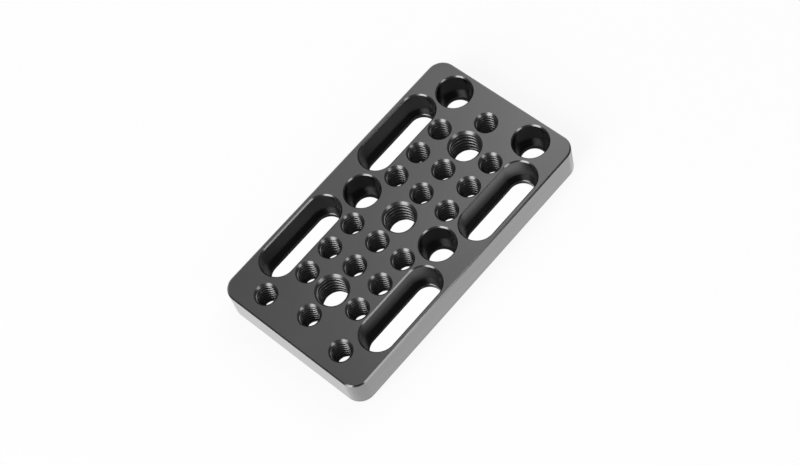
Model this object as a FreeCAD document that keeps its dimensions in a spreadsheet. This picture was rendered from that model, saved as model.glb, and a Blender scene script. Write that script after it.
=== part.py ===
"""Cheese plate: a flat aluminium plate, tapped and slotted all over so that camera gear can be bolted to it.

It is one piece, milled from bar. The underside lies on z = 0 with the plate's middle over the origin, the
length runs along X and the recessed face looks up. The tapped holes carry their tapping-drill size here.
"""
import FreeCAD
import Part
import Sketcher
import os

# Driving sizes in millimetres
SIZES = {
    # the blank
    "plate_length": 90.0,
    "plate_width": 49.0,
    "plate_thickness": 10.0,
    "corner_radius": 4.5,
    "edge_chamfer": 0.4,
    # the square grid of tapped holes, and the half-step rows of holes beside it
    "hole_pitch": 9.0,
    "outer_row": 13.5,
    "end_inset": 6.5,
    # tapped holes for quarter-inch and three-eighths-inch camera screws: drill and countersunk mouth
    "quarter_drill": 5.1,
    "quarter_mouth": 6.7,
    "large_drill": 7.94,
    "large_mouth": 9.7,
    # recessed holes and slots: the screw passes the narrow part, its head sinks into the wide part
    "screw_hole": 7.4,
    "head_bore": 10.0,
    "slot_gap": 7.8,
    "slot_recess": 10.0,
    "recess_depth": 8.5,
    "recess_chamfer": 0.35,
    # where the slots lie: from the plate's side, the middle recessed holes and the holes at the ends
    "side_wall": 1.5,
    "slot_start": 11.0,
    "far_web": 0.7,
    "near_web": 1.8,
}

# Grid places of the tapped holes, counted in pitches from the middle of the plate
QUARTER_GRID = [(sx * column, row) for sx in (-1, 1) for column in (1, 2) for row in (-1, 0, 1)]
QUARTER_GRID += [(sx * 3, row) for sx in (-1, 1) for row in (-1, 1)]
QUARTER_GRID += [(sx * 4, 0) for sx in (-1, 1)]
LARGE_GRID = [(column, 0) for column in (-3, 0, 3)]

doc = FreeCAD.newDocument("cheese_plate")
sheet = doc.addObject("Spreadsheet::Sheet", "Sizes")
for line, (alias, value) in enumerate(SIZES.items(), start=1):
    sheet.set(f"A{line}", alias)
    sheet.set(f"B{line}", str(value))
    sheet.setAlias(f"B{line}", alias)
doc.recompute()

body = doc.addObject("PartDesign::Body", "Plate")
body.Label = "cheese_plate"
ground = next(plane for plane in body.Origin.OriginFeatures if plane.Role == "XY_Plane")

# How a sketch counts the points of an arc, and the first point of its own X axis
START, END, CENTRE = range(1, 4)
ORIGIN = (-1, START)

# Places that several features share, as formulas of the sheet
END_X = "(Sizes.plate_length / 2 - Sizes.end_inset)"
SLOT_Y = "(Sizes.plate_width / 2 - Sizes.side_wall - Sizes.slot_recess / 2)"
ROW_STEP = f"({SLOT_Y} - Sizes.outer_row)"
SLOT_RIM = "(Sizes.slot_recess / 2 + Sizes.recess_chamfer)"
HEAD_RIM = "(Sizes.head_bore / 2 + Sizes.recess_chamfer)"
# a slot's last arc stops a web's width short of the end hole beside it, measured rim to rim
FAR_SLOT_END = f"({END_X} - cath({SLOT_RIM} + {HEAD_RIM} + Sizes.far_web; {ROW_STEP}))"
NEAR_SLOT_END = f"({END_X} - cath({SLOT_RIM} + Sizes.quarter_mouth / 2 + Sizes.near_web; {ROW_STEP}))"


def level_sketch(name, height):
    """A level sketch in the plate's body, its height given as a formula."""
    sketch = body.newObject("Sketcher::SketchObject", name)
    sketch.AttachmentSupport = [(ground, "")]
    sketch.MapMode = "FlatFace"
    sketch.setExpression("AttachmentOffset.Base.z", height)
    return sketch


def bind(sketch, constraint, formula):
    """Add a sketch dimension and bind it to a formula of the sheet."""
    index = sketch.addConstraint(constraint)
    name = f"size{index}"
    sketch.renameConstraint(index, name)
    sketch.setExpression(f"Constraints.{name}", formula)


def value_of(formula):
    """The number that a formula of the sheet gives now, so that a sketch is drawn near its final place."""
    return float(sheet.evalExpression(formula))


def place_point(sketch, geometry, x, y):
    """Dimension a circle's or an arc's centre from the origin."""
    bind(sketch, Sketcher.Constraint("DistanceX", *ORIGIN, geometry, CENTRE, value_of(x)), x)
    bind(sketch, Sketcher.Constraint("DistanceY", *ORIGIN, geometry, CENTRE, value_of(y)), y)


def hole_sketch(name, height, places, diameter):
    """Circles of one diameter, each at its own (x, y) formulas."""
    sketch = level_sketch(name, height)
    up = FreeCAD.Vector(0, 0, 1)
    for index, (x, y) in enumerate(places):
        middle = FreeCAD.Vector(value_of(x), value_of(y), 0)
        sketch.addGeometry(Part.Circle(middle, up, value_of(diameter) / 2))
        place_point(sketch, index, x, y)
        if index == 0:
            bind(sketch, Sketcher.Constraint("Diameter", 0, value_of(diameter)), diameter)
        else:
            sketch.addConstraint(Sketcher.Constraint("Equal", 0, index))
    return sketch


def add_slot(sketch, first, last, y, width):
    """One round-ended slot along X: two half circles, centred at first and last, and the lines between."""
    x_low, x_high = sorted((first, last), key=value_of)
    radius = value_of(width) / 2
    low = FreeCAD.Vector(value_of(x_low), value_of(y), 0)
    high = FreeCAD.Vector(value_of(x_high), value_of(y), 0)
    aside = FreeCAD.Vector(0, radius, 0)
    out = FreeCAD.Vector(radius, 0, 0)
    right = sketch.addGeometry(Part.Arc(high - aside, high + out, high + aside))
    upper = sketch.addGeometry(Part.LineSegment(high + aside, low + aside))
    left = sketch.addGeometry(Part.Arc(low + aside, low - out, low - aside))
    lower = sketch.addGeometry(Part.LineSegment(low - aside, high - aside))
    for one, other in ((right, upper), (upper, left), (left, lower), (lower, right)):
        sketch.addConstraint(Sketcher.Constraint("Tangent", one, END, other, START))
    sketch.addConstraint(Sketcher.Constraint("Equal", right, left))
    sketch.addConstraint(Sketcher.Constraint("Horizontal", upper))
    place_point(sketch, left, x_low, y)
    bind(sketch, Sketcher.Constraint("DistanceX", *ORIGIN, right, CENTRE, value_of(x_high)), x_high)
    bind(sketch, Sketcher.Constraint("Radius", right, radius), f"{width} / 2")


def slot_sketch(name, height, width):
    """All four slots at one width: a long pair at the near end, a shorter pair at the far end."""
    sketch = level_sketch(name, height)
    for side in ("", "-"):
        add_slot(sketch, "Sizes.slot_start", FAR_SLOT_END, side + SLOT_Y, width)
        add_slot(sketch, "-Sizes.slot_start", "-" + NEAR_SLOT_END, side + SLOT_Y, width)
    return sketch


def add_rounded_rectangle(sketch, length, width, radius):
    """A rectangle about the origin with a quarter circle at each corner, drawn round from the right side."""
    half = FreeCAD.Vector(value_of(length) / 2, value_of(width) / 2, 0)
    r = value_of(radius)
    corners = [(1, 1), (-1, 1), (-1, -1), (1, -1)]
    diagonal = r * (1 - 0.5 ** 0.5)
    arcs = []
    for sx, sy in corners:
        on_side = FreeCAD.Vector(sx * half.x, sy * (half.y - r), 0)
        on_end = FreeCAD.Vector(sx * (half.x - r), sy * half.y, 0)
        between = FreeCAD.Vector(sx * (half.x - diagonal), sy * (half.y - diagonal), 0)
        first, last = (on_side, on_end) if sx * sy > 0 else (on_end, on_side)
        arcs.append((first, between, last))
    rounds = [sketch.addGeometry(Part.Arc(*points)) for points in arcs]
    sides = []
    for index, points in enumerate(arcs):
        following = arcs[(index + 1) % len(arcs)]
        sides.append(sketch.addGeometry(Part.LineSegment(points[2], following[0])))
    for index, side in enumerate(sides):
        following = rounds[(index + 1) % len(rounds)]
        sketch.addConstraint(Sketcher.Constraint("Tangent", rounds[index], END, side, START))
        sketch.addConstraint(Sketcher.Constraint("Tangent", side, END, following, START))
        sketch.addConstraint(Sketcher.Constraint("Vertical" if index % 2 else "Horizontal", side))
    for other in rounds[1:]:
        sketch.addConstraint(Sketcher.Constraint("Equal", rounds[0], other))
    place_point(sketch, rounds[0], f"{length} / 2 - {radius}", f"{width} / 2 - {radius}")
    place_point(sketch, rounds[2], f"{radius} - {length} / 2", f"{radius} - {width} / 2")
    bind(sketch, Sketcher.Constraint("Radius", rounds[0], r), radius)


def cut(name, kind, sketch, **settings):
    """A pocket or hole feature on the sketch, which has to take material away."""
    doc.recompute()
    before = body.Shape.Volume
    feature = body.newObject(f"PartDesign::{kind}", name)
    feature.Profile = sketch
    doc.recompute()
    for setting, value in settings.items():
        if isinstance(value, str) and "Sizes." in value:
            feature.setExpression(setting, value)
        else:
            setattr(feature, setting, value)
    doc.recompute()
    if body.Shape.Volume >= before:
        raise RuntimeError(f"{name} cuts nothing")


TOP = "Sizes.plate_thickness"
UNDERSIDE = "0"
RIGHT_ANGLE = 90.0
BEVEL_ANGLE = -45.0

# The blank: a rectangle with rounded corners, bevelled round both faces
outline = level_sketch("Outline", UNDERSIDE)
add_rounded_rectangle(outline, "Sizes.plate_length", "Sizes.plate_width", "Sizes.corner_radius")
blank = body.newObject("PartDesign::Pad", "Blank")
blank.Profile = outline
blank.setExpression("Length", TOP)
doc.recompute()
flat_faces = [f"Face{n}" for n, face in enumerate(blank.Shape.Faces, 1) if abs(face.normalAt(0, 0).z) > 0.5]
bevel = body.newObject("PartDesign::Chamfer", "EdgeBevel")
bevel.Base = (blank, flat_faces)
bevel.setExpression("Size", "Sizes.edge_chamfer")

# Tapped holes on the grid, with two more at the corners of the near end
quarter_places = [(f"{column} * Sizes.hole_pitch", f"{row} * Sizes.hole_pitch") for column, row in QUARTER_GRID]
quarter_places += [("-" + END_X, "-Sizes.outer_row"), ("-" + END_X, "Sizes.outer_row")]
large_places = [(f"{column} * Sizes.hole_pitch", f"{row} * Sizes.hole_pitch") for column, row in LARGE_GRID]
tapped = {"Quarter": (quarter_places, "Sizes.quarter_drill", "Sizes.quarter_mouth"),
          "Large": (large_places, "Sizes.large_drill", "Sizes.large_mouth")}
for name, (places, drill, mouth) in tapped.items():
    # drilled right through and countersunk to the mouth from above
    cut(f"{name}Tapped", "Hole", hole_sketch(f"{name}Places", TOP, places, drill), DepthType="ThroughAll",
        Diameter=drill, HoleCutType="Countersink", HoleCutCustomValues=True, HoleCutDiameter=mouth,
        HoleCutCountersinkAngle=RIGHT_ANGLE)
    # the same countersink from below
    cut(f"{name}UnderMouth", "Pocket", hole_sketch(f"{name}UnderPlaces", UNDERSIDE, places, mouth),
        Reversed=True, Length=f"({mouth} - {drill}) / 2", TaperAngle=BEVEL_ANGLE)

# Recessed holes: one in the middle of each long side and one at each corner of the far end
recess_places = [(x, side + "Sizes.outer_row") for x in ("0", END_X) for side in ("", "-")]
cut("RecessedHoles", "Hole", hole_sketch("RecessPlaces", TOP, recess_places, "Sizes.screw_hole"),
    DepthType="ThroughAll", Diameter="Sizes.screw_hole", HoleCutType="Counterbore", HoleCutCustomValues=True,
    HoleCutDiameter="Sizes.head_bore", HoleCutDepth="Sizes.recess_depth")
cut("RecessMouths", "Pocket", hole_sketch("RecessMouthPlaces", TOP, recess_places, f"(2 * {HEAD_RIM})"),
    Length="Sizes.recess_chamfer", TaperAngle=BEVEL_ANGLE)

# Stepped slots: a wide recess from above, a narrower gap through the ledge, and a bevelled rim
cut("SlotRecesses", "Pocket", slot_sketch("SlotRecessOutline", TOP, "Sizes.slot_recess"),
    Length="Sizes.recess_depth")
cut("SlotGaps", "Pocket", slot_sketch("SlotGapOutline", TOP, "Sizes.slot_gap"), Type="ThroughAll")
cut("SlotMouths", "Pocket", slot_sketch("SlotMouthOutline", TOP, f"(2 * {SLOT_RIM})"),
    Length="Sizes.recess_chamfer", TaperAngle=BEVEL_ANGLE)

# Write the plate only if every feature of the document worked
doc.recompute()
for item in doc.Objects:
    if "Invalid" in item.State or "Error" in item.State:
        raise RuntimeError(f"{item.Label} failed: {item.State}")
plate = body.Shape
if plate.isNull() or not plate.isValid() or len(plate.Solids) != 1:
    raise RuntimeError("the plate isn't one sound solid")
os.makedirs("parts", exist_ok=True)
plate.exportStep(f"parts/{body.Label}.step")
print(f"{body.Label}: {plate.Volume:.0f} cubic mm, box {plate.BoundBox}")
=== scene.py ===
"""Cheese plate: a black anodised aluminium rigging plate for camera gear, tapped, recessed and slotted."""
import bpy
import numpy as np
from mathutils import Matrix, Vector
from mathutils.geometry import delaunay_2d_cdt


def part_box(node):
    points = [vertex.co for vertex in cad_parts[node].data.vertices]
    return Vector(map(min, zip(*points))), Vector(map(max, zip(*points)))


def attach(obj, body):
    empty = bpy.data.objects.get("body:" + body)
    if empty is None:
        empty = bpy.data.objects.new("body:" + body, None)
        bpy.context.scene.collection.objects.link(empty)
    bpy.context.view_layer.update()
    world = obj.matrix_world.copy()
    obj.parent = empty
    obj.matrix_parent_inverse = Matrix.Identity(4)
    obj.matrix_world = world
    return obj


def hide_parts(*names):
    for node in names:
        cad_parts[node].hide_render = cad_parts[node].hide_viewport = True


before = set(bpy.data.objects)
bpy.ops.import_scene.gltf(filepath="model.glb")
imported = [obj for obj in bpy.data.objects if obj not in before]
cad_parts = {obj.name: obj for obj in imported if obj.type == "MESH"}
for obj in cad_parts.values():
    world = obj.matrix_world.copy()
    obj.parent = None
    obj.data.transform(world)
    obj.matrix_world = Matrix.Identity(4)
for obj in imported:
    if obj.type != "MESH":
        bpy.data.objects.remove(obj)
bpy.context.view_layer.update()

# The plate's blank
# A length of flat aluminium bar, milled to size. Its four upright corners are rounded with an end mill,
# and a fine bevel runs round the edges of both faces.
MM = 0.001
low, high = (np.array(corner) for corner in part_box("cheese_plate"))
length, width, thickness = (high - low) / MM
corner_radius = 4.5
corner_points = 13
edge_bevel = 0.4


def circle_of(points, start=0.0, turn=2 * np.pi, closed=True):
    """Unit directions round an arc: cosine and sine of evenly spaced angles from start."""
    angle = start + turn * np.linspace(0.0, 1.0, points, endpoint=not closed)
    return np.stack([np.cos(angle), np.sin(angle)], axis=1)


def rounded_path(centres, points, start):
    """Path round several arc centres: at each centre in turn, the outward direction sweeps an equal share
    of a full turn from where it was, beginning at the start angle."""
    turn = 2 * np.pi / len(centres)
    outward = [circle_of(points, start + turn * n, turn, closed=False) for n in range(len(centres))]
    return np.repeat(np.array(centres, dtype=float), points, axis=0), np.concatenate(outward)


def carried_profile(centres, outward, radius, height):
    """Profile carried round a path: each point is a path centre plus radius times its outward direction,
    at the profile's height. The radius may also change round the path."""
    flat = centres[None] + np.asarray(radius)[..., None] * outward[None]
    level = np.broadcast_to(np.asarray(height)[:, None, None], flat.shape[:2] + (1,))
    return np.concatenate([flat, level], axis=2)


corner = np.array([length, width]) / 2 - corner_radius
corner_centres = [(sx * corner[0], sy * corner[1]) for sx, sy in ((1, 1), (-1, 1), (-1, -1), (1, -1))]
blank_radius = corner_radius - np.array([edge_bevel, 0.0, 0.0, edge_bevel])
blank_height = np.array([0.0, edge_bevel, thickness - edge_bevel, thickness])
blank_path = rounded_path(corner_centres, corner_points, 0.0)
blank_wall = carried_profile(*blank_path, blank_radius[:, None], blank_height)

# Tapped holes
# Quarter-inch holes fill a square grid, with three-eighths holes on the long axis. Each is drilled through,
# countersunk at both faces and tapped, so the wall is one helical thread with slanting flanks.
hole_pitch = 9.0
outer_row = 13.5
end_margin = 6.5
end_hole = length / 2 - end_margin
quarter_places = [(sx * n, row) for sx in (-1, 1) for n in (1, 2) for row in (-1, 0, 1)]
quarter_places += [(sx * 3, row) for sx in (-1, 1) for row in (-1, 1)] + [(-4, 0), (4, 0)]
quarter_places = hole_pitch * np.array(quarter_places, dtype=float)
quarter_places = np.concatenate([quarter_places, [(-end_hole, -outer_row), (-end_hole, outer_row)]])
large_places = hole_pitch * np.array([(-3.0, 0.0), (0.0, 0.0), (3.0, 0.0)])
quarter_thread = {"crest": 5.26, "major": 6.35, "mouth": 6.7, "lead": 25.4 / 20, "start": 0.65}
quarter_mesh = {"columns": 30, "rows": 120}
large_thread = {"crest": 8.15, "major": 9.525, "mouth": 9.7, "lead": 25.4 / 16, "start": 0.17}
large_mesh = {"columns": 42, "rows": 120}
flank_angle = np.radians(30.0)
root_half_turn = 1.0 / 16


def threaded_wall(place, crest, major, mouth, lead, start, columns, rows):
    """Height field over a cylinder: the radius is the largest of the thread, which runs from its crest to
    the major diameter and back along a helix with rounded turns, and of the cones at the two faces."""
    outward = circle_of(columns)
    turn = np.linspace(0.0, 1.0, columns, endpoint=False)
    height = np.linspace(0.0, thickness, rows)
    phase = (height[:, None] / lead - turn[None] + start) % 1.0
    depth = (major - crest) / 2
    flank = depth * np.tan(flank_angle) / lead
    ramp = np.clip((root_half_turn + flank - np.abs(phase - 0.5)) / flank, 0.0, 1.0)
    thread = crest / 2 + depth * ramp * ramp * (3 - 2 * ramp)
    upper_cone = mouth / 2 - (thickness - height)
    lower_cone = mouth / 2 - height
    radius = np.maximum(thread, np.maximum(upper_cone, lower_cone)[:, None])
    return carried_profile(np.broadcast_to(place, outward.shape), outward, radius, height)


hole_walls = [threaded_wall(place, **quarter_thread, **quarter_mesh) for place in quarter_places]
hole_walls += [threaded_wall(place, **large_thread, **large_mesh) for place in large_places]

# Recessed screw holes and slots
# A screw drops in from above until its head rests on a ledge near the underside. The slots let the screw
# slide along, and the far pair is shorter so that it clears the recessed holes at that end.
ledge = 1.5
recess_bevel = 0.35
edge_break = 0.15
recess_radius = 5.0
recess_rim = recess_radius + recess_bevel
recess_points = 64
screw_hole_radius = 3.7
slot_gap_radius = 3.9
side_wall = 1.5
slot_row = width / 2 - side_wall - recess_radius
slot_start = 11.0
slot_end_points = 33
# a slot's last arc stops a web's width short of the end hole beside it, measured from rim to rim
far_web, near_web = 0.7, 1.8
far_reach = recess_rim + recess_rim + far_web
near_reach = recess_rim + quarter_thread["mouth"] / 2 + near_web
row_step = slot_row - outer_row
far_slot_end = end_hole - np.sqrt(far_reach ** 2 - row_step ** 2)
near_slot_end = end_hole - np.sqrt(near_reach ** 2 - row_step ** 2)


def stepped_wall(path, gap):
    """Stepped profile carried round the path: gap wall, broken edge, level ledge, recess wall, bevel."""
    radius = np.array([gap, gap, gap + edge_break, recess_radius, recess_radius, recess_rim])
    height = np.array([0.0, ledge - edge_break, ledge, ledge, thickness - recess_bevel, thickness])
    return carried_profile(*path, radius[:, None], height)


for x in (0.0, end_hole):
    for y in (-outer_row, outer_row):
        outward = circle_of(recess_points)
        path = (np.broadcast_to((x, y), outward.shape), outward)
        hole_walls.append(stepped_wall(path, screw_hole_radius))
for first, last in ((slot_start, far_slot_end), (-near_slot_end, -slot_start)):
    for y in (-slot_row, slot_row):
        path = rounded_path([(last, y), (first, y)], slot_end_points, -np.pi / 2)
        hole_walls.append(stepped_wall(path, slot_gap_radius))


# The finished plate
# One piece: the walls above, closed by the flat upper and lower faces between their rims. It is blasted to
# a fine grain and anodised black, which leaves a dark satin metal with faint cutter lines round its sides.
INSIDE_WITH_HOLES = 2
SAME_POINT = 1e-7


def wall_faces(wall, first, outside):
    """Quads between neighbouring rings of a wall, closed round the path, wound to face out of the metal."""
    rings, points = wall.shape[:2]
    index = first + np.arange(rings * points).reshape(rings, points)
    along = np.roll(index, -1, axis=1)
    quads = np.stack([index[:-1], along[:-1], along[1:], index[1:]], axis=-1).reshape(-1, 4)
    return quads if outside else quads[:, ::-1]


def flat_face(points, rims):
    """Level face between an outer rim and the rims of the holes, as triangles over the rims' own points."""
    order = np.concatenate(rims)
    ends = np.cumsum([len(rim) for rim in rims])
    loops = [list(range(end - len(rim), end)) for rim, end in zip(rims, ends)]
    found = delaunay_2d_cdt(points[order, :2].tolist(), [], loops, INSIDE_WITH_HOLES, SAME_POINT)
    triangles, source = np.array(found[2]), np.array(found[3])[:, 0]
    return order[source[triangles]]


walls = [blank_wall] + hole_walls
firsts = np.cumsum([0] + [wall[..., 0].size for wall in walls[:-1]])
points = np.concatenate([wall.reshape(-1, 3) for wall in walls])
wall_quads = [wall_faces(wall, first, wall is blank_wall) for wall, first in zip(walls, firsts)]
quads = np.concatenate(wall_quads)
lower_rims = [first + np.arange(wall.shape[1]) for wall, first in zip(walls, firsts)]
upper_rims = [rim + (wall.shape[0] - 1) * wall.shape[1] for rim, wall in zip(lower_rims, walls)]
upper_face = flat_face(points, upper_rims)
lower_face = flat_face(points, lower_rims)[:, ::-1]

mesh = bpy.data.meshes.new("plate")
mesh.from_pydata((points * MM).tolist(), [], quads.tolist() + upper_face.tolist() + lower_face.tolist())
mesh.shade_smooth()
# every level edge is a crisp one, apart from those in a thread, whose worn crests shine as round edges do
in_thread = np.zeros(len(points), dtype=bool)
in_thread[firsts[1]:firsts[1 + len(quarter_places) + len(large_places)]] = True
in_thread[np.concatenate(lower_rims + upper_rims)] = False
ends = np.empty(2 * len(mesh.edges), dtype=np.int32)
mesh.edges.foreach_get("vertices", ends)
ends = ends.reshape(-1, 2)
crisp = (points[ends[:, 0], 2] == points[ends[:, 1], 2]) & ~in_thread[ends].any(axis=1)
mesh.attributes.new("sharp_edge", "BOOLEAN", "EDGE").data.foreach_set("value", crisp)
# how smooth each face was left: 1 for milled walls and bevels, less in a thread, and 0 where it is blasted,
# on the level faces and on the blank's upright sides, which are the second band of its wall
thread_smoothness = 0.3
smoothness = np.zeros(len(mesh.polygons))
smoothness[:len(quads)] = np.where(in_thread[quads].any(axis=1), thread_smoothness, 1.0)
band = blank_wall.shape[1]
smoothness[band:2 * band] = 0.0
mesh.attributes.new("smoothness", "FLOAT", "FACE").data.foreach_set("value", smoothness)
plate = bpy.data.objects.new("plate", mesh)
bpy.context.collection.objects.link(plate)


class Field:
    """A value that varies over a surface. Sums, differences, products and tests add Math nodes."""

    def __init__(self, tree, socket):
        self.tree = tree
        self.socket = socket

    def add(self, kind, settings, inputs, output=0):
        """Another node of the same tree: its settings are set first, then its sockets' values or links."""
        made = self.tree.nodes.new(kind)
        for name, value in settings.items():
            setattr(made, name, value)
        for name, value in inputs.items():
            if isinstance(value, Field):
                self.tree.links.new(value.socket, made.inputs[name])
            else:
                made.inputs[name].default_value = value
        return Field(self.tree, made.outputs[output])

    def __add__(self, other):
        return self.add("ShaderNodeMath", {"operation": "ADD"}, {0: self, 1: other})

    def __sub__(self, other):
        return self.add("ShaderNodeMath", {"operation": "SUBTRACT"}, {0: self, 1: other})

    def __rsub__(self, other):
        return self.add("ShaderNodeMath", {"operation": "SUBTRACT"}, {0: other, 1: self})

    def __mul__(self, other):
        return self.add("ShaderNodeMath", {"operation": "MULTIPLY"}, {0: self, 1: other})

    def __lt__(self, other):
        return self.add("ShaderNodeMath", {"operation": "LESS_THAN"}, {0: self, 1: other})

    def __abs__(self):
        return self.add("ShaderNodeMath", {"operation": "ABSOLUTE"}, {0: self})

    __radd__ = __add__
    __rmul__ = __mul__


def new_material(name):
    """An empty node material, its shader and its place on the surface in object coordinates."""
    material = bpy.data.materials.new(name)
    material.use_nodes = True
    tree = material.node_tree
    shader = tree.nodes["Principled BSDF"]
    place = Field(tree, tree.nodes.new("ShaderNodeTexCoord").outputs["Object"])
    return material, shader, place


def link(field, socket):
    """Feed a field into a shader's socket."""
    field.tree.links.new(field.socket, socket)


def mixed_colour(share, first, second):
    """From the first colour to the second as the share goes from 0 to 1. A Mix node's colour sockets go by
    number, because its number and vector sockets have the same names."""
    return share.add("ShaderNodeMix", {"data_type": "RGBA"}, {0: share, 6: first, 7: second}, 2)


anodised_dark = (0.080, 0.080, 0.081, 1.0)
anodised_light = (0.150, 0.150, 0.151, 1.0)
milled_roughness, cloud_roughness = 0.21, 0.02
blasted_roughness, grain_roughness = 0.05, 0.07
streak_stretch = (0.3, 0.3, 20.0)
anodised, shader, place = new_material("black_anodised")
cloud = place.add("ShaderNodeTexNoise", {}, {"Vector": place, "Scale": 60.0, "Detail": 3.0})
grain = place.add("ShaderNodeTexNoise", {}, {"Vector": place, "Scale": 6000.0, "Detail": 2.0})
along_edges = place.add("ShaderNodeVectorMath", {"operation": "MULTIPLY"}, {0: place, 1: streak_stretch})
streak = place.add("ShaderNodeTexNoise", {}, {"Vector": along_edges, "Scale": 80.0, "Detail": 2.0})
tone = 0.2 * cloud + 0.2 * grain + 0.6 * streak
link(mixed_colour(tone, anodised_dark, anodised_light), shader.inputs["Base Color"])
smooth = place.add("ShaderNodeAttribute", {"attribute_name": "smoothness"}, {}, "Fac")
blasted = 1.0 - smooth
grainy = blasted * (blasted_roughness + grain_roughness * grain)
link(milled_roughness + cloud_roughness * cloud + grainy, shader.inputs["Roughness"])
bump = place.add("ShaderNodeBump", {}, {"Height": grain * blasted, "Strength": 0.10, "Distance": 0.02 * MM})
link(bump, shader.inputs["Normal"])
shader.inputs["Metallic"].default_value = 1.0
mesh.materials.append(anodised)
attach(plate, "root")
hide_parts("cheese_plate")

# The studio
# A sheet of white paper with a faint shadow on it, in a dim white room. Under the plate the paper has a
# painted shadow and a painted glow that shows in reflections. Four soft boxes stand round the plate, and
# two lit panels lie on the paper where the plate's near sides mirror them.
floor_half = 3.0
floor_level = -0.05 * MM
floor_mesh = bpy.data.meshes.new("floor")
floor_signs = ((-1, -1), (1, -1), (1, 1), (-1, 1))
floor_corners = [(sx * floor_half, sy * floor_half, floor_level) for sx, sy in floor_signs]
floor_mesh.from_pydata(floor_corners, [], [(0, 1, 2, 3)])
floor = bpy.data.objects.new("floor", floor_mesh)
bpy.context.collection.objects.link(floor)
floor_white = (0.9, 0.9, 0.9, 1.0)
# the dark grey of the painted shadow on the paper under the plate
painted_floor_shade = (0.2, 0.2, 0.2, 1.0)
paper, shader, place = new_material("white_paper")
shader.inputs["Roughness"].default_value = 0.9
shader.inputs["Specular IOR Level"].default_value = 0.1
camera_ray = place.add("ShaderNodeLightPath", {}, {}, "Is Camera Ray")
mirror_ray = place.add("ShaderNodeLightPath", {}, {}, "Is Glossy Ray")
mirror_ray = mirror_ray + place.add("ShaderNodeLightPath", {}, {}, "Is Transmission Ray")
# painted shadow: the paper under the plate is coloured dark grey in place of the shade there, and the inner
# walls mirror it
shadow_inset = 1.4 * MM
half_length, half_width = high[:2] - shadow_inset
along = place.add("ShaderNodeSeparateXYZ", {}, {"Vector": place}, "X")
across = place.add("ShaderNodeSeparateXYZ", {}, {"Vector": place}, "Y")
covered = (abs(along) < half_length) * (abs(across) < half_width)
link(mixed_colour(covered, floor_white, painted_floor_shade), shader.inputs["Base Color"])
# painted reflection: under the plate the paper is given a faint glow that only reflections show, much
# stronger near the front edge and rising towards the far end, and the inner walls mirror it
painted_glow_ramp = {"From Min": -15.5 * MM, "From Max": -17.6 * MM, "To Min": 0.06, "To Max": 0.85}
painted_glow_middle, painted_glow_slope = 0.81, 9.5
painted_glow_across = place.add("ShaderNodeMapRange", {}, {"Value": across, **painted_glow_ramp})
painted_glow_under_plate = painted_glow_across * (painted_glow_middle + painted_glow_slope * along)
seen = camera_ray + mirror_ray * (1.0 - covered + covered * painted_glow_under_plate)
glow = place.add("ShaderNodeEmission", {}, {"Color": (1.0, 1.0, 1.0, 1.0), "Strength": 1.0})
own = Field(paper.node_tree, shader.outputs["BSDF"])
# the open paper keeps a little of its own shading, and with it the plate's shadow
open_glow, covered_glow = 0.86, 0.99
glow_share = seen * (open_glow + (covered_glow - open_glow) * covered)
shown = place.add("ShaderNodeMixShader", {}, {0: glow_share, 1: own, 2: glow})
link(shown, paper.node_tree.nodes["Material Output"].inputs["Surface"])
floor_mesh.materials.append(paper)

world = bpy.data.worlds.new("room")
bpy.context.scene.world = world
world.use_nodes = True
room_light = world.node_tree.nodes["Background"]
room_light.inputs["Color"].default_value = (1.0, 1.0, 1.0, 1.0)
room_light.inputs["Strength"].default_value = 0.2
box_distance = 1.2


def soft_box(name, towards, size, radiance):
    """A rectangular lamp facing the plate, as bright to look at as its radiance says."""
    lamp = bpy.data.lights.new(name, "AREA")
    lamp.shape = "RECTANGLE"
    lamp.size, lamp.size_y = size
    lamp.energy = radiance * np.pi * size[0] * size[1]
    holder = bpy.data.objects.new(name, lamp)
    direction = Vector(towards).normalized()
    facing = direction.to_track_quat("Z", "Y").to_matrix().to_4x4()
    holder.matrix_world = Matrix.Translation(direction * box_distance) @ facing
    bpy.context.collection.objects.link(holder)


soft_box("overhead_box", (0.70, 0.14, 0.70), (1.1, 1.1), 1.70)
soft_box("back_box", (0.02, 0.56, 0.83), (0.9, 0.9), 0.40)
soft_box("front_box", (0.075, -0.88, 0.44), (0.42, 0.35), 4.2)
soft_box("left_box", (-0.785, -0.074, 0.616), (0.70, 0.94), 6.0)
panel_level = -0.02 * MM


def table_light(name, low_corner, high_corner, radiance):
    """A glowing panel laid on the paper beside the plate, which only the plate's sides mirror."""
    lamp = bpy.data.lights.new(name, "AREA")
    lamp.shape = "RECTANGLE"
    span = Vector(high_corner) - Vector(low_corner)
    lamp.size, lamp.size_y = span.x, span.y
    lamp.energy = radiance * np.pi * span.x * span.y
    holder = bpy.data.objects.new(name, lamp)
    middle = (Vector(high_corner) + Vector(low_corner)) / 2
    holder.matrix_world = Matrix.Translation((*middle, panel_level)) @ Matrix.Rotation(np.pi, 4, "X")
    holder.visible_camera = False
    bpy.context.collection.objects.link(holder)


table_light("left_panel", (-0.25, -0.20), (-0.0425, 0.10), 0.8)
table_light("front_panel", (-0.0425, -0.20), (0.10, -0.0237), 0.75)

# The camera
# A long lens on a stand, high up beyond the plate's nearest corner and looking down at it. It is rolled so
# that the plate runs up to the right of the picture.
camera_place = Vector((-132.397, -207.172, 432.471)) * MM
aim = Vector((-1.859, -0.746, 5.0)) * MM
roll = np.radians(-18.753)
lens = bpy.data.cameras.new("camera")
lens.sensor_width = 36.0
lens.lens = 82.904
camera = bpy.data.objects.new("camera", lens)
looking = (aim - camera_place).to_track_quat("-Z", "Y").to_matrix()
camera.matrix_world = Matrix.Translation(camera_place) @ (looking @ Matrix.Rotation(roll, 3, "Z")).to_4x4()
bpy.context.collection.objects.link(camera)
bpy.context.scene.camera = camera
bpy.context.scene.view_settings.view_transform = "Standard"
